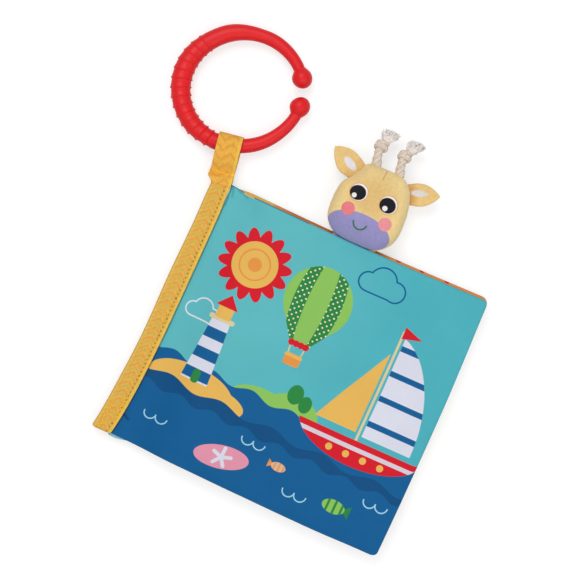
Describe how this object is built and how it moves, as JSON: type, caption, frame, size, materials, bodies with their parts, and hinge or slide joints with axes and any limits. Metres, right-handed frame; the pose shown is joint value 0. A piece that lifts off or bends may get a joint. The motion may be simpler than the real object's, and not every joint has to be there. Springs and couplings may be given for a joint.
{
  "type": "crinkle cloth book",
  "caption": "Padded cloth book with crinkling leaves bound in a spine tape, a teething ring on a tape loop and a stuffed giraffe head at the top edge.",
  "frame": {"origin": "middle of the back cover's flat underside, on which the closed book lies", "axes": "+X from the spine to the free edge, +Y up the spine towards the ring and the head, +Z out of the front cover"},
  "size_m": [0.2124, 0.2397, 0.0245],
  "materials": {
    "spine_tape": "woven tape with a printed zigzag",
    "page_edge": "woven polyester",
    "cover_print": "printed polyester, slight sheen",
    "page_print_cream": "woven polyester",
    "page_print_sky": "woven polyester",
    "page_print_orange": "woven polyester",
    "wadding": "polyester wadding",
    "crinkle_film": "thin creased film",
    "ring_plastic": "satin moulded",
    "plush": "short velour pile",
    "cotton_cord": "twisted cotton"
  },
  "bodies": {
    "spine": {"spine_binding_tape": "spine_tape", "back_cover_bound_edge": "page_edge", "inner_leaf_2_bound_edge": "page_edge", "inner_leaf_1_bound_edge": "page_edge", "front_cover_bound_edge": "page_edge", "back_cover_outer_panel": "cover_print", "back_cover_inner_panel": "page_print_cream", "back_cover_wadding": "wadding", "back_cover_crinkle_film": "crinkle_film"},
    "inner_leaf_2": {"inner_leaf_2_front_panel": "page_print_sky", "inner_leaf_2_back_panel": "page_print_cream", "inner_leaf_2_crinkle_film": "crinkle_film"},
    "inner_leaf_1": {"inner_leaf_1_front_panel": "page_print_orange", "inner_leaf_1_back_panel": "page_print_sky", "inner_leaf_1_crinkle_film": "crinkle_film", "neck_ribbon": "spine_tape"},
    "front_cover": {"front_cover_outer_panel": "cover_print", "front_cover_inner_panel": "page_print_cream", "front_cover_wadding": "wadding", "front_cover_crinkle_film": "crinkle_film"},
    "loop": {"hanging_loop": "spine_tape"},
    "ring": {"teething_ring": "ring_plastic"},
    "head": {"head_front_fabric": "plush", "head_back_fabric": "plush", "head_filling": "wadding", "left_horn_rope": "cotton_cord", "right_horn_rope": "cotton_cord"},
    "left_ear_body": {"left_ear": "plush"},
    "right_ear_body": {"right_ear": "plush"}
  },
  "joints": [
    {"name": "inner_leaf_2_hinge", "type": "hinge", "parent": "spine", "child": "inner_leaf_2", "pos_m": [-0.078, 0, 0.0098], "axis": [0, -1, 0], "range_deg": [0, 20]},
    {"name": "inner_leaf_1_hinge", "type": "hinge", "parent": "inner_leaf_2", "child": "inner_leaf_1", "pos_m": [-0.078, 0, 0.0098], "axis": [0, -1, 0], "range_deg": [0, 20]},
    {"name": "front_cover_hinge", "type": "hinge", "parent": "inner_leaf_1", "child": "front_cover", "pos_m": [-0.078, 0, 0.0098], "axis": [0, -1, 0], "range_deg": [0, 140]},
    {"name": "loop_swing", "type": "hinge", "parent": "spine", "child": "loop", "pos_m": [-0.0838, 0.0795, 0.0061], "axis": [1, 0, 0], "range_deg": [0, 80]},
    {"name": "ring_slide", "type": "hinge", "parent": "loop", "child": "ring", "pos_m": [-0.09403, 0.12785, 0.00619], "axis": [0, 0, 1], "range_deg": [-65, 215]},
    {"name": "head_nod", "type": "hinge", "parent": "inner_leaf_1", "child": "head", "pos_m": [-0.0034, 0.0753, 0.0134], "axis": [1, 0, 0], "range_deg": [0, 45]},
    {"name": "left_ear_fold", "type": "hinge", "parent": "head", "child": "left_ear_body", "pos_m": [-0.02173, 0.11263, 0.0105], "axis": [0.4848, 0.8746, 0], "range_deg": [-40, 40]},
    {"name": "right_ear_fold", "type": "hinge", "parent": "head", "child": "right_ear_body", "pos_m": [0.01499, 0.11251, 0.0105], "axis": [-0.342, 0.9397, 0], "range_deg": [-40, 40]}
  ]
}
